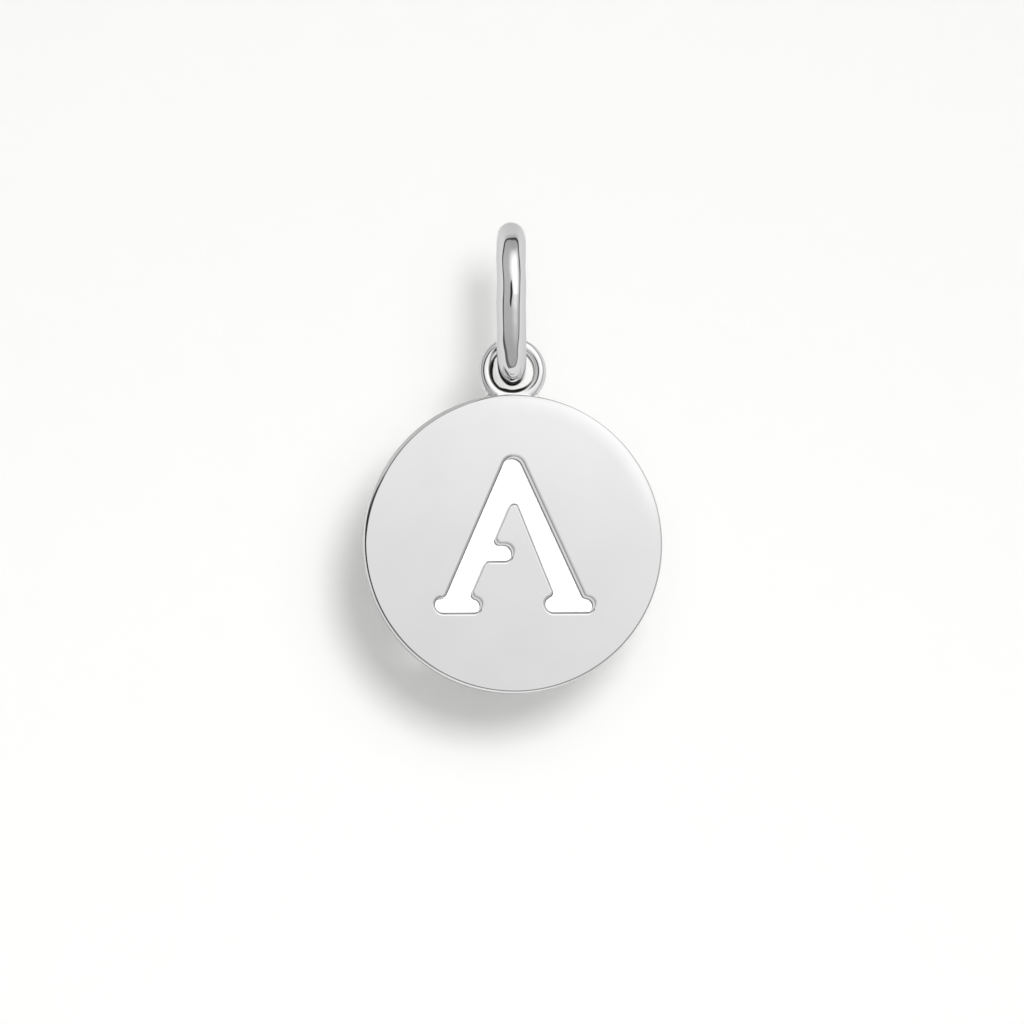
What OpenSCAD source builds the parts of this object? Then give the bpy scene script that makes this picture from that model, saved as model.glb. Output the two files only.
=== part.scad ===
// Initial pendant: a round disc pierced by a serif letter, with a soldered eyelet that hangs in an oval bail.
// The disc stands in the XZ plane and faces -Y. The origin is the point inside the top of the bail where a
// chain bears, and everything hangs below it.

/* [Disc] */
// Diameter of the disc
disc_d = 14; // [12:0.5:20]
// Thickness of the disc
disc_t = 1.4; // [1:0.1:2]
// Radius on the disc's outer edges
edge_r = 0.18; // [0.06:0.02:0.3]

/* [Letter] */
// Height of the letter, from the feet's underside to the round top
letter_h = 7.38; // [6.6:0.02:8]
// Lean of each leg's outer edge from upright, in degrees
leg_angle = 24; // [21:0.25:26]
// Width of the left leg, across the stroke
stroke_w = 1.11; // [0.8:0.01:1.4]
// How much less the right leg's inner edge leans than its outer one, in degrees
right_taper = 2.7; // [0:0.1:4]
// Radius of the letter's round top
apex_r = 0.54; // [0.4:0.01:0.6]
// Width of the left foot
left_foot_w = 2.24; // [1.9:0.01:2.6]
// Width of the right foot
right_foot_w = 2.38; // [1.9:0.01:2.6]
// Height of the feet
foot_h = 0.76; // [0.6:0.02:1]
// Height of the cut crossbar
crossbar_h = 0.86; // [0.6:0.02:1.1]
// Crossbar's underside above the feet's underside
crossbar_z = 2.42; // [2:0.02:2.7]
// How far the crossbar's round tip passes the letter's middle
crossbar_reach = -0.05; // [-0.2:0.01:0.15]
// Radius in the letter's inside corners
corner_r = 0.2; // [0.1:0.01:0.3]
// Feet's underside below the disc's centre
letter_drop = 3.28; // [3:0.01:3.6]
// How far the letter's middle lies right of the disc's centre
letter_x = 0.05; // [-0.2:0.01:0.2]
// Turn of the letter in the disc, anticlockwise, in degrees
letter_turn = 0.5; // [-2:0.1:2]

/* [Eyelet] */
// Diameter of the eyelet's round wire
eyelet_wire = 0.56; // [0.45:0.01:0.7]
// How deep the eyelet is set in the disc's edge
eyelet_sink = 0.39; // [0.3:0.01:0.5]
// Room round the bail in the eyelet's hole
hole_play = 0.3; // [0.24:0.01:0.6]
// How far the solder fills the bottom of the hole
solder_fill = 0.08; // [0.02:0.01:0.1]
// Width of the solder at the disc's edge
solder_w = 3; // [2.8:0.05:3.4]
// Thickness of the solder, front to back
solder_t = 0.5; // [0.3:0.01:0.54]
// Radius of the hollow at each side of the solder
solder_r = 0.3; // [0.2:0.01:0.4]

/* [Bail] */
// Width of the bail, seen from the front
bail_w = 1.42; // [1:0.01:1.6]
// Thickness of the bail at its top and bottom, from its inside to its outside
bail_t = 1.7; // [1.4:0.02:2]
// Thickness of the bail at its front and back, half way up
limb_t = 1.08; // [0.8:0.02:1.4]
// Height of the opening in the bail
opening_h = 4.5; // [3.5:0.01:6]
// Gap between the eyelet and the bail that it hangs in
seat_gap = 0.06; // [0.03:0.01:0.1]
// Turn of the bail about its upright axis, in degrees
bail_turn = 6; // [0:1:10]

/* [Hidden] */

// Sides of the full circles, of the corners in outlines and of the disc's rounded edge
round_sides = 96;
outline_sides = 32;
edge_sides = 24;
// Ends of a cutter stand this far out of what it cuts
cut_over = 1;
// A sliver of height that gives a hull its straight foot
sliver = 0.001;

// Bail: a round ring as thick as the bail is wide, stretched upright and pressed flat from front to back
stretch = bail_t / bail_w;
press = limb_t / bail_w;
ring_r = (opening_h / stretch + bail_w) / 2;
bail_z = -opening_h / 2;

// Eyelet: its hole takes the bail's wire, and its top wire lies in the bottom of the bail
hole_r = (max(bail_w, bail_t) + hole_play) / 2;
eyelet_r = hole_r + eyelet_wire / 2;
eyelet_outer_r = hole_r + eyelet_wire;
eyelet_z = seat_gap - opening_h - hole_r;
disc_z = eyelet_z - eyelet_outer_r + eyelet_sink - disc_d / 2;
solder_top_z = eyelet_z - hole_r + solder_fill;
solder_h = solder_top_z - disc_z - disc_d / 2;

// Letter: both legs' outer edges meet in one point above the round top. The counter is the metal point that
// stands between the legs, and it leaves the left leg stroke_w wide
apex_z = letter_h + apex_r * (1 / sin(leg_angle) - 1);
counter_z = apex_z - stroke_w / sin(leg_angle);
inner_right_angle = leg_angle - right_taper;

// How far out from the letter's middle a leg's outer edge, and the middles of both legs, lie at height z
function outer_x(z) = (apex_z - z) * tan(leg_angle);
function left_leg_x(z) = -(outer_x(z) + (counter_z - z) * tan(leg_angle)) / 2;
function right_leg_x(z) = (outer_x(z) + (counter_z - z) * tan(inner_right_angle)) / 2;

// Bail

module bail() {
    color("silver")
        translate([0, 0, bail_z])
            rotate([0, 0, -bail_turn])
                scale([1, press, stretch])
                    rotate([0, 90, 0])
                        rotate_extrude($fn = round_sides)
                            translate([ring_r, 0])
                                circle(d = bail_w, $fn = outline_sides);
}

// Letter, drawn upright with the middle of the feet's underside at its origin

// Space under two lines that meet at height top, leaning left and right, with their point rounded to radius r
module wedge(top, left, right, r) {
    mean = (left + right) / 2;
    skew = (right - left) / 2;
    hull() {
        translate([0, top])
            rotate([0, 0, skew])
                translate([0, -r / sin(mean)])
                    circle(r, $fn = round_sides);
        translate([-top * tan(left), 0])
            square([top * (tan(left) + tan(right)), sliver]);
    }
}

// Both legs, from the middle of the feet's height up
module legs() {
    difference() {
        wedge(apex_z, leg_angle, leg_angle, apex_r);
        wedge(counter_z, leg_angle, inner_right_angle, corner_r);
        translate([-apex_z, -foot_h / 2])
            square([2 * apex_z, foot_h]);
    }
}

// Bar with round ends, w wide and h high, with the middle of its underside at x, z
module round_bar(x, z, w, h) {
    hull()
        for (side = [-1, 1])
            translate([x + side * (w - h) / 2, z + h / 2])
                circle(d = h, $fn = outline_sides);
}

// The crossbar starts inside the left leg and stops short of the right one
module crossbar() {
    start_x = left_leg_x(crossbar_z + crossbar_h);
    bar_w = crossbar_reach - start_x;
    round_bar(start_x + bar_w / 2, crossbar_z, bar_w, crossbar_h);
}

module letter() {
    offset(r = -corner_r, $fn = outline_sides)
        offset(delta = corner_r) {
            legs();
            round_bar(left_leg_x(foot_h), 0, left_foot_w, foot_h);
            round_bar(right_leg_x(foot_h), 0, right_foot_w, foot_h);
            crossbar();
        }
}

// Disc and eyelet, drawn in the XZ plane round the disc's centre

// Stands a flat outline up in the XZ plane, with thickness t about the middle
module upright(t) {
    rotate([90, 0, 0])
        linear_extrude(t, center = true)
            children();
}

module disc_blank() {
    rotate([90, 0, 0])
        rotate_extrude($fn = round_sides)
            intersection() {
                offset(r = edge_r, $fn = edge_sides)
                    square([disc_d - 2 * edge_r, disc_t - 2 * edge_r], center = true);
                translate([0, -disc_t])
                    square([disc_d, 2 * disc_t]);
            }
}

module eyelet() {
    translate([0, 0, eyelet_z - disc_z])
        rotate([90, 0, 0])
            rotate_extrude($fn = round_sides)
                translate([eyelet_r, 0])
                    circle(d = eyelet_wire, $fn = round_sides);
}

// Solder between the eyelet and the disc's edge, hollowed at both sides
module solder() {
    foot_z = disc_d / 2 - eyelet_sink;
    hollow_z = disc_d / 2 + solder_h - solder_r / 2;
    upright(solder_t)
        difference() {
            translate([-solder_w / 2, foot_z])
                square([solder_w, solder_h + eyelet_sink]);
            for (side = [-1, 1])
                translate([side * solder_w / 2, hollow_z])
                    circle(solder_r, $fn = round_sides);
        }
}

module letter_disc() {
    color("gainsboro")
        translate([0, 0, disc_z]) {
            difference() {
                disc_blank();
                upright(disc_t + 2 * cut_over)
                    rotate([0, 0, letter_turn])
                        translate([letter_x, -letter_drop])
                            letter();
            }
            eyelet();
            solder();
        }
}

bail();
letter_disc();
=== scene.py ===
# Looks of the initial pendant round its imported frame: metres, +Z up, the disc's front facing -Y
import math
import bmesh
import bpy
from mathutils import Matrix, Vector
from mathutils.geometry import tessellate_polygon


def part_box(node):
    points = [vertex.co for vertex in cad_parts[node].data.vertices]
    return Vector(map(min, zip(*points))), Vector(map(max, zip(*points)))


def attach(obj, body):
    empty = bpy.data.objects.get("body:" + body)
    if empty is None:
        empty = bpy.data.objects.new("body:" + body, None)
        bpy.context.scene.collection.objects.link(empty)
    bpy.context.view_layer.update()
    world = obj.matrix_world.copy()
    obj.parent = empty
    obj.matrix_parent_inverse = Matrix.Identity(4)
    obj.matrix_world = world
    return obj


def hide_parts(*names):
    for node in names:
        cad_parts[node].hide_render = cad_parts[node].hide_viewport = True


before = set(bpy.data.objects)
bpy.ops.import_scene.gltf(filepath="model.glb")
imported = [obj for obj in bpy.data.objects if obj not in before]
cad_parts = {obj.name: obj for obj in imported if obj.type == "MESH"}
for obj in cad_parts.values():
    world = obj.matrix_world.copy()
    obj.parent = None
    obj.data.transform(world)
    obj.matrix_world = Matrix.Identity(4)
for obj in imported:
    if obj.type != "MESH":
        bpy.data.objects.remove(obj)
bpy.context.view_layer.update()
mm = 0.001
weldGap = 1e-8                  # metres between vertices that are one

# The disc's place and size come from the frame, in millimetres
discLow, discHigh = (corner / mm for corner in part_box("letter_disc"))
bailLow, bailHigh = (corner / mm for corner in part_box("bail"))
discRadius = (discHigh.x - discLow.x) / 2
discHalf = (discHigh.y - discLow.y) / 2
discZ = discLow.z + discRadius
print("frame: disc", round(2 * discRadius, 3), "mm across, its centre at z", round(discZ, 3), "mm")


# Nodes, colours and finished pieces

def linearColour(code):
    # sRGB hex to the linear values that shaders take
    parts = [int(code[i:i + 2], 16) / 255 for i in (1, 3, 5)]
    return [p / 12.92 if p <= 0.04045 else ((p + 0.055) / 1.055) ** 2.4 for p in parts] + [1]


def addNode(tree, kind, inputs=None, **settings):
    # One node with its settings. An input is a value, or the output socket that feeds it
    node = tree.nodes.new(kind)
    for name, value in settings.items():
        setattr(node, name, value)
    for socket, value in (inputs or {}).items():
        if isinstance(value, bpy.types.NodeSocket):
            tree.links.new(value, node.inputs[socket])
        else:
            node.inputs[socket].default_value = value
    return node


def newMaterial(name):
    material = bpy.data.materials.new(name)
    material.use_nodes = True
    material.node_tree.nodes.clear()
    return material


def newObject(name, data, material=None):
    item = bpy.data.objects.new(name, data)
    bpy.context.scene.collection.objects.link(item)
    if material:
        item.data.materials.clear()
        item.data.materials.append(material)
    return item


def settled(item):
    # The object with its modifiers turned into a plain mesh
    graph = bpy.context.evaluated_depsgraph_get()
    mesh = bpy.data.meshes.new_from_object(item.evaluated_get(graph))
    item.modifiers.clear()
    item.data = mesh


def facesOutwards(mesh):
    # Welds a closed mesh's seams and turns its faces outwards
    form = bmesh.new()
    form.from_mesh(mesh)
    bmesh.ops.remove_doubles(form, verts=form.verts, dist=weldGap)
    bmesh.ops.recalc_face_normals(form, faces=form.faces)
    form.to_mesh(mesh)
    form.free()
    for face in mesh.polygons:
        face.use_smooth = True


# Metal: sterling silver, 92.5% silver, cast, soldered and buffed on a soft mop to a mirror

silver = {
    "bright": "#f8f8f8",        # fresh from the mop
    "soft": "#f5f5f5",          # where the mop touched less
    "paintedShade": "#3c3b3a",       # painted shade along some edges, in the cut and round the eyelet's hole, where the metal shows dark reflections and shadow
    "roughBright": 0.03,
    "roughSoft": 0.055,
    "roughPaintedShade": 0.35,
    "roughSatin": 0.28,         # in the sawn cut
    "cloudSize": 2.6,           # millimetres across one cloud of softer polish
    "cloudBand": (0.35, 0.7),   # where the cloud pattern turns from bright to soft
    "grainSize": 0.09,          # buffing grain. Real grain is 0.01 mm, drawn coarser so that it shows at all
    "grainHeight": 0.00001,     # millimetres
}


def polishedSilver(name, swellSize, swellHeight):
    # A mirror. Clouds of softer polish and a faint swell left by the mop bend its reflections a little, and
    # painted shade darkens it along some edges, in the cut and round the eyelet's hole. The swell's size and
    # height are in millimetres
    material = newMaterial(name)
    tree = material.node_tree
    place = addNode(tree, "ShaderNodeTexCoord").outputs["Object"]
    cloud = addNode(tree, "ShaderNodeTexNoise", {
        "Vector": place, "Scale": 1 / (silver["cloudSize"] * mm), "Detail": 3, "Roughness": 0.5})
    grain = addNode(tree, "ShaderNodeTexNoise", {
        "Vector": place, "Scale": 1 / (silver["grainSize"] * mm), "Detail": 2, "Roughness": 0.5})
    swell = addNode(tree, "ShaderNodeTexNoise", {
        "Vector": place, "Scale": 1 / (swellSize * mm), "Detail": 1, "Roughness": 0.4})
    # painted shade: a per-vertex level that darkens the metal where its reflections or shadows are dark
    paintedShade = addNode(tree, "ShaderNodeAttribute", attribute_name="paintedShade").outputs["Fac"]
    tone = addNode(tree, "ShaderNodeValToRGB", {"Fac": cloud.outputs["Fac"]})
    for mark, at, finish in zip(tone.color_ramp.elements, silver["cloudBand"], ("bright", "soft")):
        mark.position = at
        mark.color = linearColour(silver[finish])
    colour = addNode(tree, "ShaderNodeMix", {
        "Factor": paintedShade, 6: tone.outputs["Color"], 7: linearColour(silver["paintedShade"])}, data_type="RGBA")
    cloudStart, cloudEnd = silver["cloudBand"]
    polish = addNode(tree, "ShaderNodeMapRange", {
        "Value": cloud.outputs["Fac"], "From Min": cloudStart, "From Max": cloudEnd,
        "To Min": silver["roughBright"], "To Max": silver["roughSoft"]})
    satin = addNode(tree, "ShaderNodeAttribute", attribute_name="satin").outputs["Fac"]
    sawn = addNode(tree, "ShaderNodeMix", {
        "Factor": satin, 2: polish.outputs["Result"], 3: silver["roughSatin"]}, data_type="FLOAT")
    rough = addNode(tree, "ShaderNodeMix", {
        "Factor": paintedShade, 2: sawn.outputs[0], 3: silver["roughPaintedShade"]}, data_type="FLOAT")
    swollen = addNode(tree, "ShaderNodeBump", {
        "Height": swell.outputs["Fac"], "Strength": 1, "Distance": swellHeight * mm})
    buffed = addNode(tree, "ShaderNodeBump", {
        "Height": grain.outputs["Fac"], "Normal": swollen.outputs["Normal"],
        "Strength": 1, "Distance": silver["grainHeight"] * mm})
    shader = addNode(tree, "ShaderNodeBsdfPrincipled", {
        "Base Color": colour.outputs[2], "Roughness": rough.outputs[0],
        "Normal": buffed.outputs["Normal"], "Metallic": 1})
    addNode(tree, "ShaderNodeOutputMaterial", {"Surface": shader.outputs["BSDF"]})
    return material


bailSilver = polishedSilver("Sterling silver, mop polished bail", swellSize=2.2, swellHeight=0.004)
discSilver = polishedSilver("Sterling silver, mirror polished disc", swellSize=6, swellHeight=0.0004)
eyeletSilver = polishedSilver("Sterling silver, soldered eyelet", swellSize=1.1, swellHeight=0.004)


# Bail: round wire in a ring, stretched upright and pressed flat from front to back

bail = {
    "wire": 1.42,               # millimetres, the width from the front
    "ends": 1.7,                # thickness at top and bottom
    "limbs": 1.08,              # thickness at front and back
    "turn": -6,                 # degrees about the upright axis
    "swellSize": 1.3,           # millimetres across one low hump left by hand polishing
    "swellHeight": 0.11,
    "swellMiddle": 0.65,        # pattern level that stays put: metal sinks below it and rises above it
    "ringSides": 288,
    "wireSides": 112,
}


def bailTree(material):
    tree = bpy.data.node_groups.new("Bail from a round ring", "GeometryNodeTree")
    face = tree.interface
    face.new_socket("Geometry", in_out="OUTPUT", socket_type="NodeSocketGeometry")
    sizes = {"Ring radius": "Float", "Wire radius": "Float", "Ring sides": "Int", "Wire sides": "Int",
             "Stretch": "Vector", "Turn": "Vector", "Place": "Vector", "Humps per metre": "Float",
             "Hump height": "Float"}
    for name, kind in sizes.items():
        face.new_socket(name, in_out="INPUT", socket_type="NodeSocket" + kind)
    given = addNode(tree, "NodeGroupInput").outputs
    ring = addNode(tree, "GeometryNodeCurvePrimitiveCircle", {
        "Resolution": given["Ring sides"], "Radius": given["Ring radius"]})
    section = addNode(tree, "GeometryNodeCurvePrimitiveCircle", {
        "Resolution": given["Wire sides"], "Radius": given["Wire radius"]})
    wire = addNode(tree, "GeometryNodeCurveToMesh", {
        "Curve": ring.outputs["Curve"], "Profile Curve": section.outputs["Curve"]})
    upright = addNode(tree, "GeometryNodeTransform", {
        "Geometry": wire.outputs["Mesh"], "Rotation": (0, math.pi / 2, 0)})
    shaped = addNode(tree, "GeometryNodeTransform", {
        "Geometry": upright.outputs["Geometry"], "Scale": given["Stretch"],
        "Rotation": given["Turn"], "Translation": given["Place"]})
    hump = addNode(tree, "ShaderNodeTexNoise", {"Scale": given["Humps per metre"], "Detail": 0.5})
    above = addNode(tree, "ShaderNodeMath", {
        0: hump.outputs["Fac"], 1: bail["swellMiddle"]}, operation="SUBTRACT")
    lift = addNode(tree, "ShaderNodeMath", {
        0: above.outputs[0], 1: given["Hump height"]}, operation="MULTIPLY")
    outward = addNode(tree, "ShaderNodeVectorMath", {
        "Vector": addNode(tree, "GeometryNodeInputNormal").outputs["Normal"],
        "Scale": lift.outputs[0]}, operation="SCALE")
    humped = addNode(tree, "GeometryNodeSetPosition", {
        "Geometry": shaped.outputs["Geometry"], "Offset": outward.outputs["Vector"]})
    smooth = addNode(tree, "GeometryNodeSetShadeSmooth", {"Geometry": humped.outputs["Geometry"]})
    real = addNode(tree, "GeometryNodeRealizeInstances", {"Geometry": smooth.outputs["Geometry"]})
    dressed = addNode(tree, "GeometryNodeSetMaterial", {
        "Geometry": real.outputs["Geometry"], "Material": material})
    addNode(tree, "NodeGroupOutput", {"Geometry": dressed.outputs["Geometry"]})
    return tree


def setInput(modifier, name, value):
    # Sets a modifier's input by its socket's identifier
    sockets = modifier.node_group.interface.items_tree
    modifier[next(s.identifier for s in sockets if s.name == name and s.in_out == "INPUT")] = value


def makeBail():
    height = bailHigh.z - bailLow.z
    stretch = bail["ends"] / bail["wire"]
    ringRadius = (height / stretch - bail["wire"]) / 2
    item = newObject("bailSolid", bpy.data.meshes.new("bailSolid"))
    modifier = item.modifiers.new("Bail", "NODES")
    modifier.node_group = bailTree(bailSilver)
    setInput(modifier, "Ring radius", ringRadius * mm)
    setInput(modifier, "Wire radius", bail["wire"] / 2 * mm)
    setInput(modifier, "Ring sides", bail["ringSides"])
    setInput(modifier, "Wire sides", bail["wireSides"])
    setInput(modifier, "Stretch", (1, bail["limbs"] / bail["wire"], stretch))
    setInput(modifier, "Turn", (0, 0, math.radians(bail["turn"])))
    setInput(modifier, "Place", (0, 0, (bailHigh.z + bailLow.z) / 2 * mm))
    setInput(modifier, "Humps per metre", 1 / (bail["swellSize"] * mm))
    setInput(modifier, "Hump height", bail["swellHeight"] * mm)
    settled(item)
    facesOutwards(item.data)
    return item


bailPiece = makeBail()
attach(bailPiece, "bail")
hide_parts("bail")
print("bail:", len(bailPiece.data.polygons), "faces")


# Letter: its outline runs like a belt round pegs, from the top down the left leg and back up the right one

letter = {                      # millimetres and degrees, seen from the front, z up from the feet's underside
    "height": 7.38,
    "lean": 24,                 # of each leg's outer edge
    "stroke": 1.11,             # width of the left leg
    "rightTaper": 2.7,          # how much less the right leg's inner edge leans
    "topRadius": 0.54,
    "leftFoot": 2.24,
    "rightFoot": 2.38,
    "footHeight": 0.76,
    "barHeight": 0.86,
    "barAbove": 2.42,           # crossbar's underside above the feet's underside
    "barReach": -0.05,          # crossbar's tip, right of the letter's middle
    "cornerRadius": 0.2,
    "drop": 3.28,               # feet's underside below the disc's centre
    "shift": 0.05,              # letter's middle right of the disc's centre
    "turn": 0.5,
    "arcStep": 5,               # degrees between points on its arcs
    "leastTurn": 1e-6,          # radians: a smaller turn round a peg counts as none
    "leastStep": 1e-4,          # points of the outline lie further apart than this
}


def footPeg(topZ, angle, side, metal, footX, footW):
    # A peg of the corner's radius in the metal, touching a leg's edge and the top or round end of its foot
    corner, end = letter["cornerRadius"], letter["footHeight"] / 2
    slope = side * math.tan(angle)
    start = slope * topZ + side * metal * corner / math.cos(angle)
    z = letter["footHeight"] + corner
    half = footW / 2 - end
    away = start - slope * z - footX
    if abs(away) > half:
        u = start - footX - math.copysign(half, away)
        a = 1 + slope ** 2
        b = u * slope + end
        z = (b + math.sqrt(b ** 2 - a * (u ** 2 + end ** 2 - (end + corner) ** 2))) / a
    return start - slope * z, z, corner, -1


def letterPegs():
    # Each peg is x, z, radius and side: 1 in the cut, -1 in the metal
    lean = math.radians(letter["lean"])
    inner = math.radians(letter["lean"] - letter["rightTaper"])
    corner, end, bar = letter["cornerRadius"], letter["footHeight"] / 2, letter["barHeight"] / 2
    apexZ = letter["height"] + letter["topRadius"] * (1 / math.sin(lean) - 1)
    counterZ = apexZ - letter["stroke"] / math.sin(lean)
    footZ = letter["footHeight"]
    outerX = (apexZ - footZ) * math.tan(lean)
    leftX = -(outerX + (counterZ - footZ) * math.tan(lean)) / 2
    rightX = (outerX + (counterZ - footZ) * math.tan(inner)) / 2
    leftHalf = letter["leftFoot"] / 2 - end
    rightHalf = letter["rightFoot"] / 2 - end
    mean, skew = (lean + inner) / 2, (inner - lean) / 2
    deep = corner / math.sin(mean)

    def barPeg(z):
        # In the corner between the left leg's inner edge and the crossbar
        return -(counterZ - z) * math.tan(lean) + corner / math.cos(lean), z, corner, -1

    return [
        (0, apexZ - letter["topRadius"] / math.sin(lean), letter["topRadius"], 1),
        footPeg(apexZ, lean, -1, 1, leftX, letter["leftFoot"]),
        (leftX - leftHalf, end, end, 1),
        (leftX + leftHalf, end, end, 1),
        footPeg(counterZ, lean, -1, -1, leftX, letter["leftFoot"]),
        barPeg(letter["barAbove"] - corner),
        (letter["barReach"] - bar, letter["barAbove"] + bar, bar, 1),
        barPeg(letter["barAbove"] + 2 * bar + corner),
        (deep * math.sin(skew), counterZ - deep * math.cos(skew), corner, -1),
        footPeg(counterZ, inner, 1, -1, rightX, letter["rightFoot"]),
        (rightX - rightHalf, end, end, 1),
        (rightX + rightHalf, end, end, 1),
        footPeg(apexZ, lean, 1, 1, rightX, letter["rightFoot"]),
    ]


def beltRound(pegs, step):
    # Points round the pegs, each with the direction that points out of the cut into the metal
    heads = []
    for here, there in zip(pegs, pegs[1:] + pegs[:1]):
        dx, dz = there[0] - here[0], there[1] - here[1]
        lift = (there[3] * there[2] - here[3] * here[2]) / math.hypot(dx, dz)
        heads.append(math.atan2(dz, dx) - math.asin(max(-1, min(1, lift))))
    belt = []
    for i, (x, z, radius, side) in enumerate(pegs):
        turn = (heads[i] - heads[i - 1]) % (2 * math.pi)
        if side < 0 and turn > letter["leastTurn"]:
            turn -= 2 * math.pi
        count = max(2, math.ceil(abs(math.degrees(turn)) / step))
        for k in range(count + 1):
            head = heads[i - 1] + turn * k / count
            out = Vector((math.sin(head), -math.cos(head)))
            belt.append((Vector((x, z)) + out * side * radius, out))
    return belt


def cutOutline():
    # The letter's belt, set in the disc: points about the disc's centre
    turn = Matrix.Rotation(math.radians(letter["turn"]), 2)
    move = Vector((letter["shift"], -letter["drop"]))
    belt = beltRound(letterPegs(), letter["arcStep"])
    points = [(turn @ (point + move), turn @ out) for point, out in belt]
    kept = [points[0]]
    for point in points[1:]:
        if (point[0] - kept[-1][0]).length > letter["leastStep"]:
            kept.append(point)
    return kept


# Disc: flat faces with the letter cut through. The mop rounds all edges, some sides more than others

disc = {                        # millimetres; directions are in degrees, anticlockwise from the right
    "edgeSteps": 10,            # rows round each edge
    "wallSteps": 10,            # rows down the wall between them
    "roundSides": 360,
    "backRadius": 0.1,          # of all back edges
    # radius of the disc's front edge by direction, and how far it is a flat bevel instead, 0 to 1
    "rimRadius": ((0, 0.09), (60, 0.06), (90, 0.1), (115, 0.19), (155, 0.2), (180, 0.06), (210, 0.035),
                  (240, 0.035), (270, 0.06), (300, 0.08), (360, 0.09)),
    "rimBevel": ((0, 0), (95, 0), (110, 1), (160, 1), (178, 0), (360, 0)),
    "bevelLean": 0.85,          # radians that the bevel leans back
    "bevelFade": 0.15,          # radians of the edge over which it sets in
    "wear": 0.05,               # radians that the face leans at its worn edge
    "wearSide": 52,             # direction of the most wear
    "wearWide": (0.6, 0.95),    # cosine from that direction: none at the first, full at the second
    "wearReach": 0.85,          # from the edge into the face
    "wearSteps": 6,
    # painted shade, 0 to 1, by direction, darkest on the lower left: the dark line at the front edge and how
    # wide it is, the side, the back edge
    "rimLine": ((0, 0.3), (30, 0.15), (60, 0), (90, 0.3), (110, 0.1), (125, 0.1), (145, 0.9), (180, 1),
                (210, 1), (240, 0.7), (270, 0.35), (300, 0.5), (330, 0.45), (360, 0.3)),
    "rimWide": ((0, 0.05), (105, 0.05), (120, 0.02), (150, 0.035), (180, 0.2), (210, 0.36), (240, 0.3),
                (275, 0.06), (360, 0.05)),
    "rimSide": ((0, 0.1), (90, 0.1), (110, 0.18), (150, 0.2), (180, 0.4), (240, 0.15), (300, 0.1),
                (360, 0.1)),
    "rimBack": ((0, 0.2), (150, 0.3), (180, 0.5), (210, 0.75), (270, 0.85), (300, 0.6), (330, 0.2),
                (360, 0.2)),
    "rimLineRise": 0.008,       # from the face to where the line is full
    "rimLineFade": 0.03,        # past its width
    "rimSideRise": 0.02,
    "rimBackBand": (0.75, 1),   # along the surface from the front edge: none before the first, then rising
    # radius of the cut letter's front edge by direction out of the cut, and how far it only leans a little
    "cutRadius": ((0, 0.11), (24, 0.14), (90, 0.12), (130, 0.15), (156, 0.17), (190, 0.14), (205, 0.12),
                  (270, 0.18), (300, 0.12), (336, 0.075), (360, 0.11)),
    "cutWorn": ((0, 1), (95, 1), (130, 0), (300, 0), (330, 1), (360, 1)),
    "cutLean": 0.1,             # radians
    "cutInset": 0.02,           # burr that the mop pushed into the cut
    # painted shade in the cut, 0 to 1, by direction: a dark line at its front edge, and a band at its back
    # edge
    "cutLine": ((0, 0.1), (24, 0.28), (90, 0.4), (156, 0.9), (185, 0.5), (201, 0.12), (270, 0.1),
                (336, 0.25), (360, 0.1)),
    "cutLineShape": ((0, 0), (0.3, 0.05), (0.7, 0.4), (0.85, 1), (1, 1)),   # across the edge, into the cut
    "cutLineDeep": 0.2,         # of the line down into the cut
    "cutBack": ((0, 0.9), (24, 1), (90, 0.95), (150, 0.6), (300, 0), (336, 0.1), (350, 0.8), (360, 0.9)),
    "cutBackWide": (0.35, 0.55),    # up from the back edge: full to the first, none from the second
    "bedInset": 0.18,           # from the disc's face to the solder that lies on its edge
}


def between(stops, value):
    # The level that stops of (value, level) give, along straight lines
    for (lowAt, low), (highAt, high) in zip(stops, stops[1:]):
        if value <= highAt:
            return low + (high - low) * (value - lowAt) / (highAt - lowAt)
    return stops[-1][1]


def edgeRows(radius, backRadius, lean=0.0):
    # Rows from the front face to the back face: y, distance into the metal, angle round the edge, and the
    # distance along the surface. The front face may already lean a little where the edge begins
    steps, last = disc["edgeSteps"], disc["wallSteps"]
    top = -discHalf + lean * disc["wearReach"] / 3
    rows = []
    for k in range(steps + 1):
        a = lean + (math.pi / 2 - lean) * k / steps
        y = top + radius * (math.cos(lean) - math.cos(a))
        rows.append((y, radius * (1 - math.sin(a)), a, radius * a))
    wallTop, wallEnd, run = rows[-1][0], discHalf - backRadius, rows[-1][3]
    for k in range(1, last):
        y = wallTop + (wallEnd - wallTop) * k / last
        rows.append((y, 0, math.pi / 2, run + y - wallTop))
    for k in range(steps + 1):
        a = math.pi / 2 * (1 + k / steps)
        y = wallEnd - backRadius * math.cos(a)
        rows.append((y, backRadius * (1 - math.sin(a)), a, run + y - wallTop))
    return rows


def bevelled(a, share, flat):
    # The angle of an edge's row when a share of its roundness gives way to a flat that leans this much
    if a >= math.pi / 2:
        return a
    return a + share * (flat - a)


def backFade(a):
    # 1 along the edge, down to 0 where the flat back begins, so that the back itself stays free of painted
    # shade
    return max(0, math.sin(a)) if a > math.pi / 2 else 1


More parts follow.
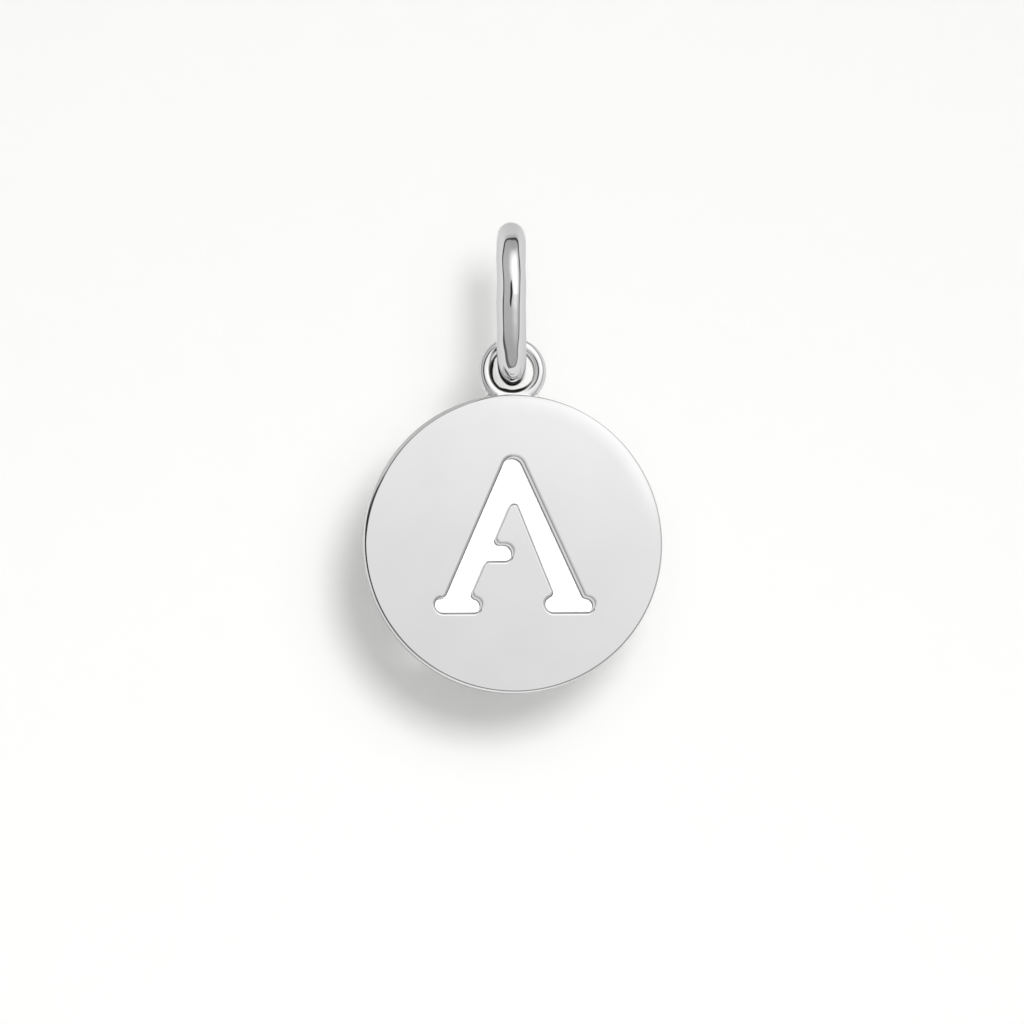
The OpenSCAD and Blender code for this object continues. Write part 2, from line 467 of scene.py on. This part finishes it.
def rimRows(out):
    # y, distance into the metal, angle, painted shade and satin for one spoke of the disc's edge. The first
    # rows are the worn part of the face, where the lean grows with the square of the way
    side = math.degrees(math.atan2(-out.y, -out.x)) % 360
    low, high = disc["wearWide"]
    near = (math.cos(math.radians(side - disc["wearSide"])) - low) / (high - low)
    lean = disc["wear"] * max(0, min(1, near))
    radius, reach = between(disc["rimRadius"], side), disc["wearReach"]
    line, wide, wall, last, bevel = (
        between(disc[name], side) for name in ("rimLine", "rimWide", "rimSide", "rimBack", "rimBevel"))
    rise, fade = disc["rimLineRise"], disc["rimLineFade"]
    backStart, backFull = disc["rimBackBand"]
    rows = []
    for k in range(disc["wearSteps"]):
        u = k / disc["wearSteps"]
        rows.append((-discHalf + lean * reach * u ** 3 / 3, radius + reach * (1 - u), lean * u ** 2, 0, 0))
    for y, deep, a, run in edgeRows(radius, disc["backRadius"], lean):
        # painted shade: a dark line at the front edge, the side wall and a band at the back edge, by
        # direction
        front = line * between(((0, 0), (rise, 1), (wide, 1), (wide + fade, 0)), run)
        back = last * between(((0, 0), (backStart, 0), (backFull, 1)), run)
        a = bevelled(a, bevel, disc["bevelLean"] * min(1, a / disc["bevelFade"]))
        paintedShade = max(front, back, wall * min(1, run / disc["rimSideRise"])) * backFade(a)
        rows.append((y, deep, a, paintedShade, 0))
    return rows


def cutRows(out):
    # The same for one point of the cut letter's edge
    side = math.degrees(math.atan2(out.y, out.x)) % 360
    radius, line, last, worn = (
        between(disc[name], side) for name in ("cutRadius", "cutLine", "cutBack", "cutWorn"))
    near, far = disc["cutBackWide"]
    rows = []
    for y, deep, a, run in edgeRows(radius, disc["backRadius"]):
        across = math.sin(min(a, math.pi / 2))
        down = max(0, run - radius * math.pi / 2)
        # painted shade: a dark line at the cut's front edge and a band at its back edge
        front = line * between(disc["cutLineShape"], across) * max(0, 1 - down / disc["cutLineDeep"])
        back = last * between(((0, 1), (near, 1), (far, 0)), max(0, discHalf - disc["backRadius"] - y))
        fade = backFade(a)
        paintedShade, satin = max(front, back, 0) * fade, max(0, 2 * across - 1) * fade
        a = bevelled(a, worn, disc["cutLean"] * across)
        rows.append((y, deep - disc["cutInset"], a, paintedShade, satin))
    return rows


def wallRings(form, outline, rowsAt, normals):
    # Rings of vertices round a closed outline, from the front face to the back face, with their own normals
    # each vertex keeps its painted shade and its satin share
    paintedShadeLayer, satinLayer = form.verts.layers.float["paintedShade"], form.verts.layers.float["satin"]
    rings = []
    for point, out in outline:
        for i, (y, deep, a, paintedShade, satin) in enumerate(rowsAt(out)):
            if len(rings) <= i:
                rings.append([])
            flat = point + out * deep
            vert = form.verts.new(Vector((flat.x, y, flat.y + discZ)) * mm)
            vert[paintedShadeLayer], vert[satinLayer] = paintedShade, satin
            rings[i].append(vert)
            normals[vert] = Vector((-out.x * math.sin(a), -math.cos(a), -out.y * math.sin(a)))
    for front, back in zip(rings, rings[1:]):
        for i in range(len(front)):
            form.faces.new((front[i - 1], front[i], back[i], back[i - 1]))
    return rings[0], rings[-1]


def flatFace(form, outer, hole):
    # Fills a face of the disc between its edge and the letter
    loops = [[vert.co for vert in ring] for ring in (outer, hole)]
    verts = outer + hole
    for corners in tessellate_polygon([[Vector((c.x, c.z, 0)) / mm for c in loop] for loop in loops]):
        form.faces.new([verts[i] for i in corners])


def makeDisc():
    form = bmesh.new()
    for name in ("paintedShade", "satin"):
        form.verts.layers.float.new(name)
    normals = {}
    rim = []
    for k in range(disc["roundSides"]):
        spoke = 2 * math.pi * k / disc["roundSides"]
        outward = Vector((math.cos(spoke), math.sin(spoke)))
        rim.append((outward * discRadius, -outward))
    rimFront, rimBack = wallRings(form, rim, rimRows, normals)
    cutFront, cutBack = wallRings(form, cutOutline(), cutRows, normals)
    flatFace(form, rimFront, cutFront)
    flatFace(form, rimBack, cutBack)
    bmesh.ops.recalc_face_normals(form, faces=form.faces)
    form.verts.index_update()
    ordered = [normals[vert] for vert in form.verts]
    mesh = bpy.data.meshes.new("letterDisc")
    form.to_mesh(mesh)
    form.free()
    for face in mesh.polygons:
        face.use_smooth = True
    mesh.normals_split_custom_set_from_vertices(ordered)
    return newObject("letterDisc", mesh, discSilver)


discPiece = makeDisc()
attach(discPiece, "letter_disc")
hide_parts("letter_disc")
print("disc:", len(discPiece.data.polygons), "faces, letter outline of", len(cutOutline()), "points")


# Eyelet: a ring of round wire, sunk in the disc's edge and soldered. The solder runs up in a hollow fillet

eyelet = {
    "centreX": 0.02,            # millimetres, as all lengths here
    "realWire": 0.6,            # the finished wire's thickness
    "wire": 0.63,               # as it is modelled: the melting thins it a little
    "sink": 0.43,               # below the disc's edge
    "play": 0.3,                # room round the bail in its hole
    "fill": 0.08,               # solder in the bottom of the hole
    "solderW": 2.75,            # width at the disc's edge
    "solderT": 0.46,            # thickness, front to back
    "solderNeck": 0.45,         # how much narrower each side is at the top
    "hollow": 0.3,              # radius of the hollow at each side of the solder
    "hollowOut": 0.1,           # its centre lies this far out of the solder's side
    "hollowArc": (250, 110, 10),    # degrees from and to, and steps
    "bed": 3.4,                 # width of the disc's edge that the solder wets
    "bedDeep": 0.5,
    "bedSteps": 40,
    "bedInside": 0.012,         # the bed lies this far inside the disc, so that only the fillets show
    "voxel": 0.028,
    "smoothing": 14,            # rounds
    "flow": 0.5,                # strength of each round
    "ringSides": 160,
    "wireSides": 48,
    "squareness": 2.5,          # 2 is a round wire, more is flatter in front
    "ranRound": 0.5,            # power: how the run solder thins out to the front and back
    # by direction in degrees: the solder that ran up inside the hole, with room for the bail's limbs, and the
    # painted shadow on it and beside it, black where the hole lies in shadow: how black, 0 to 1, and how wide
    "ran": ((0, 0), (145, 0), (165, 0.08), (185, 0.07), (205, 0.035), (232, 0.035), (250, 0.12), (290, 0.12),
            (325, 0.02), (335, 0), (360, 0)),
    "holeShadow": ((0, 0.3), (120, 0.3), (155, 1), (305, 1), (335, 0.3), (360, 0.3)),
    "holeShadowWide": ((0, 0.08), (130, 0.08), (170, 0.16), (235, 0.16), (265, 0.08), (360, 0.08)),
}


def addRing(form, radius, wire, z):
    # A closed ring of wire in the XZ plane, thicker inside where solder ran up
    rings = []
    for i in range(eyelet["ringSides"]):
        round1 = 2 * math.pi * i / eyelet["ringSides"]
        ran = between(eyelet["ran"], math.degrees(round1))
        out = Vector((math.cos(round1), 0, math.sin(round1)))
        ring = []
        for k in range(eyelet["wireSides"]):
            round2 = 2 * math.pi * (k + 0.5) / eyelet["wireSides"]
            c, s = math.cos(round2), math.sin(round2)
            reach = radius + wire / 2 * math.copysign(abs(c) ** (2 / eyelet["squareness"]), c)
            side = wire / 2 * math.copysign(abs(s) ** (2 / eyelet["squareness"]), s)
            reach -= ran * max(0, -c) ** eyelet["ranRound"]
            ring.append(form.verts.new(out * reach + Vector((0, side, z))))
        rings.append(ring)
    for i in range(len(rings)):
        for k in range(eyelet["wireSides"]):
            form.faces.new((rings[i - 1][k - 1], rings[i - 1][k], rings[i][k], rings[i][k - 1]))


def addSlab(form, outline, half):
    # A prism of a closed outline in the XZ plane, half thick to each side
    front = [form.verts.new((x, -half, z)) for x, z in outline]
    back = [form.verts.new((x, half, z)) for x, z in outline]
    form.faces.new(front)
    form.faces.new(back[::-1])
    for i in range(len(front)):
        form.faces.new((front[i - 1], front[i], back[i], back[i - 1]))


def arcPoints(x, z, radius, start, end, count):
    # Points on an arc about x, z, from one angle to the other in degrees
    angles = [math.radians(start + (end - start) * k / count) for k in range(count + 1)]
    return [(x + radius * math.cos(a), z + radius * math.sin(a)) for a in angles]


def makeEyelet():
    # Built in millimetres about the disc's centre, melted together in one skin, then set in place
    hole = (max(bail["wire"], bail["ends"]) + eyelet["play"]) / 2
    ringR = hole + eyelet["realWire"] / 2
    ringZ = discRadius + ringR + eyelet["realWire"] / 2 - eyelet["sink"]
    topZ = ringZ - hole + eyelet["fill"]
    half = eyelet["solderW"] / 2
    hollowZ = discRadius + eyelet["hollow"] / 2
    form = bmesh.new()
    addRing(form, ringR, eyelet["wire"], ringZ)
    low = discRadius - eyelet["sink"]
    right = arcPoints(half + eyelet["hollowOut"], hollowZ, eyelet["hollow"], *eyelet["hollowArc"])
    left = [(-x, z) for x, z in reversed(right)]
    neck = half - eyelet["solderNeck"]
    block = [(-half, low), (half, low)] + right + [(neck, topZ), (-neck, topZ)] + left
    addSlab(form, block, eyelet["solderT"] / 2)
    reach = math.degrees(math.asin(eyelet["bed"] / 2 / discRadius))
    top = arcPoints(0, 0, discRadius - eyelet["bedInside"], 90 - reach, 90 + reach, eyelet["bedSteps"])
    under = [(x, z - eyelet["bedDeep"]) for x, z in reversed(top)]
    addSlab(form, top + under, discHalf - disc["bedInset"])
    bmesh.ops.recalc_face_normals(form, faces=form.faces)
    mesh = bpy.data.meshes.new("eyelet")
    form.to_mesh(mesh)
    form.free()
    item = newObject("eyelet", mesh, eyeletSilver)
    melt = item.modifiers.new("Melt", "REMESH")
    melt.mode = "VOXEL"
    melt.voxel_size = eyelet["voxel"]
    melt.use_smooth_shade = True
    flow = item.modifiers.new("Flow", "SMOOTH")
    flow.factor = eyelet["flow"]
    flow.iterations = eyelet["smoothing"]
    settled(item)
    layer = item.data.attributes.new("paintedShade", "FLOAT", "POINT")
    for vert, value in zip(item.data.vertices, layer.data):
        # the painted shadow is full over the inner half of its width, then fades
        x, z = vert.co.x, vert.co.z - ringZ
        side = math.degrees(math.atan2(z, x)) % 360
        beyond = (math.hypot(x, z) - hole) / between(eyelet["holeShadowWide"], side)
        value.value = between(eyelet["holeShadow"], side) * max(0, min(1, 2 - 2 * beyond))
    item.data.transform(Matrix.Scale(mm, 4) @ Matrix.Translation((eyelet["centreX"], 0, discZ)))
    facesOutwards(item.data)
    return item


eyeletPiece = makeEyelet()
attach(eyeletPiece, "letter_disc")
print("eyelet:", len(eyeletPiece.data.polygons), "faces")


# Camera: long lens, a little from the left and below, as the photo is taken

view = {
    "azimuth": -6,              # degrees
    "elevation": -6,
    "roll": 0.3,
    "lens": 200,                # millimetres, on a 36 mm sensor
    "clip": (0.01, 10),         # metres
    "pixelsPerMm": 21.31,
    "imageSide": 1024,
    "discCentre": (512.6, 544.1),   # pixels, where the photo has the disc's centre
}


def makeCamera():
    data = bpy.data.cameras.new("camera")
    data.lens = view["lens"]
    side = view["imageSide"]
    distance = data.lens * side / data.sensor_width / view["pixelsPerMm"] * mm
    a, e = math.radians(view["azimuth"]), math.radians(view["elevation"])
    back = Vector((math.sin(a) * math.cos(e), -math.cos(a) * math.cos(e), math.sin(e)))
    item = newObject("camera", data)
    item.location = Vector((0, 0, discZ * mm)) + back * distance
    turn = (-back).to_track_quat("-Z", "Y").to_matrix()
    item.rotation_euler = (turn @ Matrix.Rotation(math.radians(-view["roll"]), 3, "Z")).to_euler()
    data.shift_x = (side / 2 - view["discCentre"][0]) / side
    data.shift_y = (view["discCentre"][1] - side / 2) / side
    data.clip_start, data.clip_end = view["clip"]
    bpy.context.scene.camera = item
    return item


camera = makeCamera()
sightLine = (Vector((0, 0, discZ * mm)) - camera.location).normalized()


# Stage: a paper sweep under and far behind the pendant

stage = {                       # metres
    "wallY": 0.21,
    "floorZ": -0.13,
    "bend": 0.06,               # radius between floor and wall
    "bendSteps": 24,
    "top": 0.5,
    "front": -1.2,
    "half": 1.2,                # of its width
    "turn": -6,                 # degrees, so that the wall faces the camera
    "paper": "#f8f8f7",
    "paperRough": 0.95,
    "fibreSize": 1.111,         # millimetres. Real fibres are 0.02 mm wide, drawn coarser so that they show
    "fibreHeight": 0.1,
    "fibreShare": 0.02,         # of that height in the bump
}


def mattPaper():
    # Uncoated paper: an even white without gloss, with a faint tooth
    material = newMaterial("Matt paper sweep")
    tree = material.node_tree
    place = addNode(tree, "ShaderNodeTexCoord").outputs["Object"]
    fibre = addNode(tree, "ShaderNodeTexNoise", {
        "Vector": place, "Scale": 1 / (stage["fibreSize"] * mm), "Detail": 3})
    bump = addNode(tree, "ShaderNodeBump", {
        "Height": fibre.outputs["Fac"], "Strength": stage["fibreShare"],
        "Distance": stage["fibreHeight"] * mm})
    shader = addNode(tree, "ShaderNodeBsdfPrincipled", {
        "Base Color": linearColour(stage["paper"]), "Roughness": stage["paperRough"],
        "Specular IOR Level": 0, "Normal": bump.outputs["Normal"]})
    addNode(tree, "ShaderNodeOutputMaterial", {"Surface": shader.outputs["BSDF"]})
    return material


def makeSweep():
    bendY, bendZ = stage["wallY"] - stage["bend"], stage["floorZ"] + stage["bend"]
    line = [(stage["front"], stage["floorZ"])]
    line += arcPoints(bendY, bendZ, stage["bend"], -90, 0, stage["bendSteps"])
    line += [(stage["wallY"], stage["top"])]
    form = bmesh.new()
    rows = [[form.verts.new((x, y, z)) for x in (-stage["half"], stage["half"])] for y, z in line]
    for near, far in zip(rows, rows[1:]):
        form.faces.new((near[0], near[1], far[1], far[0]))
    bmesh.ops.rotate(form, verts=form.verts, matrix=Matrix.Rotation(math.radians(stage["turn"]), 3, "Z"))
    mesh = bpy.data.meshes.new("sweep")
    form.to_mesh(mesh)
    form.free()
    for face in mesh.polygons:
        face.use_smooth = True
    item = newObject("sweep", mesh, mattPaper())
    item.visible_glossy = False     # the metal sees only the studio dome


makeSweep()


# Light: a small lamp beside the camera throws the soft shadow, and a spot keeps the paper behind the cut
# letter white. The metal reflects the dome alone

lamps = {
    "keyRight": 3.2,            # millimetres right of the lens, which sets where the shadow falls
    "keyUp": 4.5,
    "keyWide": 4.9,             # millimetres, which sets how soft the shadow is
    "keyHigh": 4.9,
    "keyPower": 0.89,
    "hazePower": 0.41,          # a wider lamp in the same place
    "haze": 15,                 # millimetres
    "spotBack": 0.1,            # metres behind the disc
    "spotRadius": 12.2,         # millimetres of paper
    "spotPower": 0.31,
    "spotBlend": 0.35,
    "topPower": 0.5,            # sun from straight above, for the floor
    "topHigh": 0.5,             # metres
    "topWide": 15,              # degrees
}


def lampAt(name, kind, place, target, power, **settings):
    # One lamp turned to its target. Neither the metal nor the camera sees it
    data = bpy.data.lights.new(name, kind)
    data.energy = power
    for key, value in settings.items():
        setattr(data, key, value)
    item = newObject(name, data)
    item.location = place
    item.rotation_euler = (target - place).to_track_quat("-Z", "Y").to_euler()
    item.visible_glossy = False
    item.visible_camera = False


def makeLamps():
    discPlace = Vector((0, 0, discZ * mm))
    turn = camera.rotation_euler.to_matrix()
    keyPlace = camera.location + turn @ Vector((lamps["keyRight"], lamps["keyUp"], 0)) * mm
    lampAt("keyLamp", "AREA", keyPlace, discPlace, lamps["keyPower"], shape="ELLIPSE",
           size=lamps["keyWide"] * mm, size_y=lamps["keyHigh"] * mm)
    lampAt("hazeLamp", "AREA", keyPlace, discPlace, lamps["hazePower"], shape="DISK", size=lamps["haze"] * mm)
    paperPlace = discPlace + sightLine * (stage["wallY"] / sightLine.y)
    spotPlace = discPlace + sightLine * lamps["spotBack"]
    angle = 2 * math.atan(lamps["spotRadius"] * mm / (paperPlace - spotPlace).length)
    lampAt("paperSpot", "SPOT", spotPlace, paperPlace, lamps["spotPower"],
           spot_size=angle, spot_blend=lamps["spotBlend"], shadow_soft_size=0.0)
    above = Vector((0, 0, lamps["topHigh"]))
    lampAt("topSun", "SUN", above, Vector(), lamps["topPower"], angle=math.radians(lamps["topWide"]))


makeLamps()


# Dome: what the metal sees. Its pattern is laid out by how far a small mirror leans, sideways and up, to show
# each part of it to the front. A dark room with a bright card stands in the middle, with paper all round

dome = {                        # stops are (lean, linear level), bands are where a change starts and ends
    "surround": ((1, 0.75), (1.45, 0.69), (2, 0.64)),   # paper all round, brightest beside the room
    "room": ((-0.6, 0.38), (-0.35, 0.4), (-0.15, 0.44), (0.1, 0.47), (0.3, 0.48), (0.42, 0.44),
             (0.55, 0.35)),
    "roomMiddle": 0.01,
    "roomWide": 0.465,          # to each side
    "roomBulge": 0.025,         # more in its upper half
    "roomBulgeBand": (0.05, 0.3),
    "roomUp": 0.585,
    "roomDown": 0.66,
    "roomPowerUp": 4,           # squarer above, pointed below
    "roomPowerDown": 2.5,
    "line": 0.85,               # how much the seam between room and paper darkens
    "lineRight": 0.3,           # less on the right, lower down
    "lineRightAcross": (-0.05, 0.05),
    "lineRightUp": (0.05, 0.3),
    "lineTip": 0.35,            # less still at the lower point
    "lineAt": 0.96,             # its middle, as a share of the room's size
    "lineBand": (-0.1, -0.035, 0.035, 0.09),    # dark starts and is full, paper starts and is full
    "lineThin": 0.68,           # thinner where it runs across, thicker on the left, lower down
    "lineThick": 0.8,
    "lowLeft": 0.035,           # how much further left the room reaches there
    "lowLeftAcross": (-0.3, 0.0),
    "lowLeftUp": (-0.35, -0.1),
    "topShade": (0.98, 1.16, 0.4, 0.16),    # darker paper above the room: its band, and how dark at each end
    "card": ((-0.5, 0), (-0.35, 0.08), (-0.18, 0.16), (-0.06, 0.36), (-0.0125, 0.41), (0, 0.46),
             (0.0125, 0.6), (0.04, 0.66), (0.3, 0.7), (0.38, 0.35), (0.44, 0)),
    "cardSlant": 0.3,
    "cardRise": (-0.09, 0.2),
    "cardFall": (0.24, 0.44),
    "lens": 0.95,               # dark lens beside the card
    "lensMiddle": (-0.035, 0.045),
    "lensHalf": (0.07, 0.145),
    "lensBand": (0.6, 1.2),     # in squares of its half size
    "grazing": 0.86,            # what walls that stand along the view see
    "grazingBand": (0.1, 0.24),
    "openSky": 0.97,            # seen by the camera past the sweep
    "fill": 0.252,              # light on the paper from all round
}


def makeDome():
    world = bpy.data.worlds.new("studio")
    bpy.context.scene.world = world
    world.use_nodes = True
    tree = world.node_tree
    tree.nodes.clear()

    def maths(operation, first, second=0.0):
        return addNode(tree, "ShaderNodeMath", {0: first, 1: second}, operation=operation).outputs[0]

    def ramp(value, low, high, start=0.0, end=1.0):
        return addNode(tree, "ShaderNodeMapRange", {
            "Value": value, "From Min": low, "From Max": high, "To Min": start, "To Max": end},
            interpolation_type="SMOOTHSTEP").outputs["Result"]

    def levels(value, stops):
        # A level that follows stops of (value, level)
        low, high = stops[0][0], stops[-1][0]
        share = addNode(tree, "ShaderNodeMapRange", {"Value": value, "From Min": low, "From Max": high})
        node = addNode(tree, "ShaderNodeValToRGB", {"Fac": share.outputs["Result"]})
        marks = node.color_ramp.elements
        while len(marks) < len(stops):
            marks.new(1)
        for mark, (at, level) in zip(marks, stops):
            mark.position = (at - low) / (high - low)
            mark.color = (level, level, level, 1)
        return node.outputs["Color"]

    def vectors(operation, *given):
        # One node that works on directions
        return addNode(tree, "ShaderNodeVectorMath", dict(enumerate(given)), operation=operation)

    # The lean of the mirror that shows each direction, and its parts sideways and up
    forward = -sightLine
    sideways = sightLine.cross(Vector((0, 0, 1))).normalized()
    direction = addNode(tree, "ShaderNodeTexCoord").outputs["Generated"]
    halfWay = vectors("ADD", direction, forward).outputs["Vector"]
    lean = vectors("NORMALIZE", halfWay).outputs["Vector"]
    right = vectors("DOT_PRODUCT", lean, sideways).outputs["Value"]
    up = addNode(tree, "ShaderNodeSeparateXYZ", {0: lean}).outputs["Z"]

    # The room's outline: edge is 1 on it, and fromLine is the way past the seam
    below = maths("LESS_THAN", up, 0.0)
    power = ramp(below, 0.0, 1.0, dome["roomPowerUp"], dome["roomPowerDown"])
    reachUp = ramp(below, 0.0, 1.0, dome["roomUp"], dome["roomDown"])
    bulge = maths("MULTIPLY", ramp(up, *dome["roomBulgeBand"]), dome["roomBulge"])
    wide = maths("ADD", dome["roomWide"], bulge)
    lowLeft = maths("MULTIPLY", ramp(right, *dome["lowLeftAcross"], 1.0, 0.0),
                    ramp(up, *dome["lowLeftUp"], 1.0, 0.0))
    wide = maths("ADD", wide, maths("MULTIPLY", lowLeft, dome["lowLeft"]))
    across = maths("ABSOLUTE", maths("DIVIDE", maths("SUBTRACT", right, dome["roomMiddle"]), wide))
    along = maths("POWER", maths("ABSOLUTE", maths("DIVIDE", up, reachUp)), power)
    both = maths("ADD", maths("POWER", across, power), along)
    edge = maths("POWER", both, maths("DIVIDE", 1.0, power))
    runsAcross = maths("DIVIDE", along, both)
    thin = maths("SUBTRACT", 1.0, maths("MULTIPLY", runsAcross, dome["lineThin"]))
    thin = maths("ADD", thin, maths("MULTIPLY", lowLeft, dome["lineThick"]))
    fromLine = maths("DIVIDE", maths("SUBTRACT", edge, dome["lineAt"]), thin)

    # The card in the room, and the paper round it
    card = maths("ADD", right, maths("MULTIPLY", up, dome["cardSlant"]))
    card = maths("MULTIPLY", ramp(card, *dome["cardRise"]), ramp(right, *dome["cardFall"], 1.0, 0.0))
    card = maths("MULTIPLY", card, levels(up, dome["card"]))
    inside = maths("ADD", levels(up, dome["room"]), card)
    darkIn, darkFull, darkEnd, paperFull = dome["lineBand"]
    paperShare = ramp(fromLine, darkEnd, paperFull)
    overTop = maths("MULTIPLY", runsAcross, maths("SUBTRACT", 1.0, below))
    shade = maths("SUBTRACT", 1.0, maths("MULTIPLY", overTop, ramp(edge, *dome["topShade"])))
    paper = maths("MULTIPLY", levels(edge, dome["surround"]), shade)
    level = addNode(tree, "ShaderNodeMix", {
        "Factor": paperShare, 2: inside, 3: paper}, data_type="FLOAT").outputs[0]

    # The dark seam, and the lens
    lowRight = maths("MULTIPLY", ramp(right, *dome["lineRightAcross"]),
                     ramp(up, *dome["lineRightUp"], 1.0, 0.0))
    dark = maths("SUBTRACT", dome["line"], maths("MULTIPLY", lowRight, dome["lineRight"]))
    tip = maths("MULTIPLY", maths("MULTIPLY", runsAcross, below), dome["lineTip"])
    dark = maths("MULTIPLY", dark, maths("SUBTRACT", 1.0, tip))
    seam = maths("MULTIPLY", ramp(fromLine, darkIn, darkFull), ramp(fromLine, darkEnd, paperFull, 1.0, 0.0))
    level = maths("MULTIPLY", level, maths("SUBTRACT", 1.0, maths("MULTIPLY", seam, dark)))
    parts = []
    for value, middle, half in zip((right, up), dome["lensMiddle"], dome["lensHalf"]):
        parts.append(maths("POWER", maths("DIVIDE", maths("SUBTRACT", value, middle), half), 2.0))
    glass = ramp(maths("ADD", *parts), *dome["lensBand"], dome["lens"], 0.0)
    level = maths("MULTIPLY", level, maths("SUBTRACT", 1.0, glass))

    # Walls that stand along the view see one even level
    facing = vectors("DOT_PRODUCT", lean, forward).outputs["Value"]
    level = addNode(tree, "ShaderNodeMix", {
        "Factor": ramp(facing, *dome["grazingBand"], 1.0, 0.0), 2: level, 3: dome["grazing"]},
        data_type="FLOAT").outputs[0]

    # The metal sees the pattern, the camera an open sky, and the paper is lit evenly from all round
    ray = addNode(tree, "ShaderNodeLightPath").outputs
    plain = ramp(ray["Is Camera Ray"], 0.0, 1.0, dome["fill"], dome["openSky"])
    mirrored = addNode(tree, "ShaderNodeMix", {
        "Factor": ray["Is Glossy Ray"], 2: plain, 3: level}, data_type="FLOAT")
    light = addNode(tree, "ShaderNodeBackground", {"Strength": mirrored.outputs[0], "Color": (1, 1, 1, 1)})
    addNode(tree, "ShaderNodeOutputWorld", {"Surface": light.outputs["Background"]})


makeDome()
bpy.context.scene.view_settings.view_transform = "Standard"
print("stage, lamps and dome are set")
